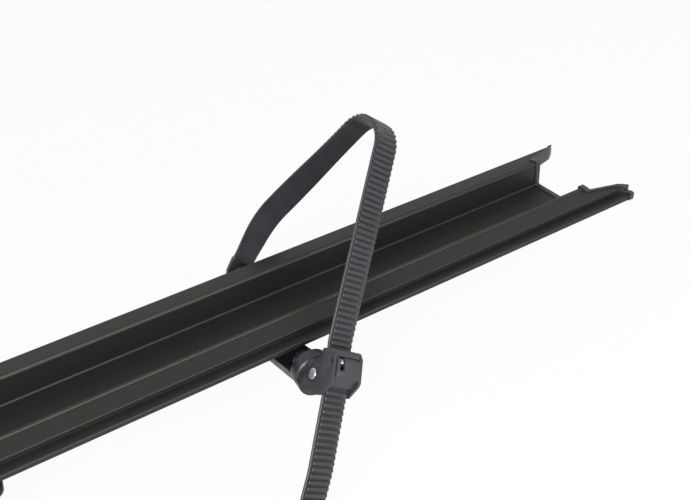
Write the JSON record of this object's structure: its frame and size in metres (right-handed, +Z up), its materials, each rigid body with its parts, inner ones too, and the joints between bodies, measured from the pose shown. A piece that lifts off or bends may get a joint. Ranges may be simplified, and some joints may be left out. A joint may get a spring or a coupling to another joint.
{
  "type": "roof mounted bike carrier",
  "caption": "Roof mounted bike carrier: channel tray on crossbar saddles, a ratchet strap loop for each wheel and an upright folding arm that clamps the frame.",
  "frame": {"origin": "middle of the front saddle's rubber seat, on top of the front crossbar", "axes": "+X along the tray to its tail, -Y to the buckle side, +Z up"},
  "size_m": [1.438, 0.3301, 0.6778],
  "materials": {
    "black_anodised_aluminium": "black anodised, satin",
    "black_cast_aluminium": "black powder coat over cast aluminium",
    "moulded_nylon": "black glass-filled nylon",
    "strap_tpu": "dark grey moulded TPU",
    "rubber_pad": "matt black rubber",
    "bright_steel": "bright stainless steel",
    "zinc_plated_steel": "zinc plated"
  },
  "bodies": {
    "front_saddle": {"front_crossbar_nuts": "zinc_plated_steel", "front_crossbar_t_bolts": "zinc_plated_steel", "front_saddle_body": "black_cast_aluminium", "front_saddle_pad": "rubber_pad", "front_saddle_t_nuts": "zinc_plated_steel", "front_saddle_tray_bolts": "zinc_plated_steel"},
    "rear_saddle": {"rear_crossbar_nuts": "zinc_plated_steel", "rear_crossbar_t_bolts": "zinc_plated_steel", "rear_saddle_body": "black_cast_aluminium", "rear_saddle_pad": "rubber_pad", "rear_saddle_t_nuts": "zinc_plated_steel", "rear_saddle_tray_bolts": "zinc_plated_steel"},
    "tray": {"tray_extrusion": "black_anodised_aluminium", "tail_end_cap": "moulded_nylon", "front_end_cap": "moulded_nylon", "end_cap_screws": "zinc_plated_steel"},
    "arm_base": {"arm_base": "black_cast_aluminium", "arm_base_bolts": "zinc_plated_steel", "arm_base_t_nut": "zinc_plated_steel", "arm_pivot_bolt": "zinc_plated_steel", "arm_pivot_nut": "zinc_plated_steel"},
    "arm": {"arm_foot": "moulded_nylon", "arm_tube": "black_anodised_aluminium", "clamp_body": "black_cast_aluminium", "clamp_lower_pad": "rubber_pad"},
    "clamp_jaw": {"clamp_moving_jaw": "black_cast_aluminium", "clamp_upper_pad": "rubber_pad"},
    "clamp_spindle": {"clamp_screw": "zinc_plated_steel", "clamp_knob": "moulded_nylon"},
    "clamp_lock": {"clamp_lock_cylinder": "bright_steel"},
    "front_strap_carriage": {"front_crossarm": "moulded_nylon", "front_crossarm_t_nut": "zinc_plated_steel", "front_crossarm_bolt": "zinc_plated_steel", "front_swivel_stud": "zinc_plated_steel", "front_strap_anchor_screw": "zinc_plated_steel"},
    "front_strap_loop": {"front_swivel_knuckle": "moulded_nylon", "front_buckle_rivet": "bright_steel", "front_ladder_strap": "strap_tpu"},
    "front_buckle": {"front_buckle_frame": "moulded_nylon", "front_lever_pin": "zinc_plated_steel", "front_lever_spring": "bright_steel", "front_pawl_pin": "zinc_plated_steel"},
    "front_lever": {"front_ratchet_lever": "moulded_nylon"},
    "front_pawl": {"front_holding_pawl": "moulded_nylon"},
    "rear_strap_carriage": {"rear_crossarm": "moulded_nylon", "rear_crossarm_t_nut": "zinc_plated_steel", "rear_crossarm_bolt": "zinc_plated_steel", "rear_swivel_stud": "zinc_plated_steel", "rear_strap_anchor_screw": "zinc_plated_steel"},
    "rear_strap_loop": {"rear_swivel_knuckle": "moulded_nylon", "rear_buckle_rivet": "bright_steel", "rear_ladder_strap": "strap_tpu"},
    "rear_buckle": {"rear_buckle_frame": "moulded_nylon", "rear_lever_pin": "zinc_plated_steel", "rear_lever_spring": "bright_steel", "rear_pawl_pin": "zinc_plated_steel"},
    "rear_lever": {"rear_ratchet_lever": "moulded_nylon"},
    "rear_pawl": {"rear_holding_pawl": "moulded_nylon"}
  },
  "joints": [
    {"name": "tray_slide", "type": "slide", "parent": "front_saddle", "child": "tray", "axis": [1, 0, 0], "range_m": [-0.2, 0.03]},
    {"name": "rear_saddle_slide", "type": "slide", "parent": "tray", "child": "rear_saddle", "axis": [1, 0, 0], "range_m": [0, 0.12]},
    {"name": "arm_base_slide", "type": "slide", "parent": "tray", "child": "arm_base", "axis": [1, 0, 0], "range_m": [-0.025, 0.015]},
    {"name": "arm_fold", "type": "hinge", "parent": "arm_base", "child": "arm", "pos_m": [0.51, 0.125, 0.0422], "axis": [0, 1, 0], "range_deg": [-80, 0]},
    {"name": "clamp_spin", "type": "hinge", "parent": "arm", "child": "clamp_spindle", "pos_m": [0.51, 0.054, 0.5542], "axis": [0, 0, 1], "range_deg": [-2161, 721]},
    {"name": "clamp_jaw_slide", "type": "slide", "parent": "arm", "child": "clamp_jaw", "axis": [0, 0, 1], "range_m": [-0.03, 0.01]},
    {"name": "lock_turn", "type": "hinge", "parent": "arm", "child": "clamp_lock", "pos_m": [0.51, 0.066, 0.5322], "axis": [1, 0, 0], "range_deg": [0, 90]},
    {"name": "front_strap_slide", "type": "slide", "parent": "tray", "child": "front_strap_carriage", "axis": [1, 0, 0], "range_m": [-0.11, 0.02]},
    {"name": "front_strap_swivel", "type": "hinge", "parent": "front_strap_carriage", "child": "front_strap_loop", "pos_m": [0.40949, 0, 0.03591], "axis": [0, 1, 0], "range_deg": [-20, 55]},
    {"name": "front_buckle_hinge", "type": "hinge", "parent": "front_strap_loop", "child": "front_buckle", "pos_m": [0.40567, -0.1045, 0.0442], "axis": [0.766, 0, 0.6428], "range_deg": [-12, 12], "deforming": ["front_ladder_strap"]},
    {"name": "front_lever_hinge", "type": "hinge", "parent": "front_buckle", "child": "front_lever", "pos_m": [0.39136, -0.11768, 0.06125], "axis": [-0.766, 0, -0.6428], "range_deg": [0, 85], "stiffness_Nm_per_rad": 0.01, "springref_deg": -22.92},
    {"name": "front_pawl_hinge", "type": "hinge", "parent": "front_buckle", "child": "front_pawl", "pos_m": [0.39804, -0.12134, 0.0533], "axis": [0.766, 0, 0.6428], "range_deg": [0, 14], "stiffness_Nm_per_rad": 0.01, "springref_deg": -22.92},
    {"name": "rear_strap_slide", "type": "slide", "parent": "tray", "child": "rear_strap_carriage", "axis": [1, 0, 0], "range_m": [-0.1, 0.25]},
    {"name": "rear_strap_swivel", "type": "hinge", "parent": "rear_strap_carriage", "child": "rear_strap_loop", "pos_m": [0.90551, 0, 0.03591], "axis": [0, 1, 0], "range_deg": [-55, 20]},
    {"name": "rear_buckle_hinge", "type": "hinge", "parent": "rear_strap_loop", "child": "rear_buckle", "pos_m": [0.90933, -0.1045, 0.0442], "axis": [0.766, 0, -0.6428], "range_deg": [-12, 12], "deforming": ["rear_ladder_strap"]},
    {"name": "rear_lever_hinge", "type": "hinge", "parent": "rear_buckle", "child": "rear_lever", "pos_m": [0.92364, -0.11768, 0.06125], "axis": [-0.766, 0, 0.6428], "range_deg": [0, 85], "stiffness_Nm_per_rad": 0.01, "springref_deg": -22.92},
    {"name": "rear_pawl_hinge", "type": "hinge", "parent": "rear_buckle", "child": "rear_pawl", "pos_m": [0.91697, -0.12134, 0.0533], "axis": [0.766, 0, -0.6428], "range_deg": [0, 14], "stiffness_Nm_per_rad": 0.01, "springref_deg": -22.92}
  ],
  "couplings": [
    {"joint": "clamp_spin", "follows": "clamp_jaw_slide", "rad_per_m": 1256.6}
  ]
}
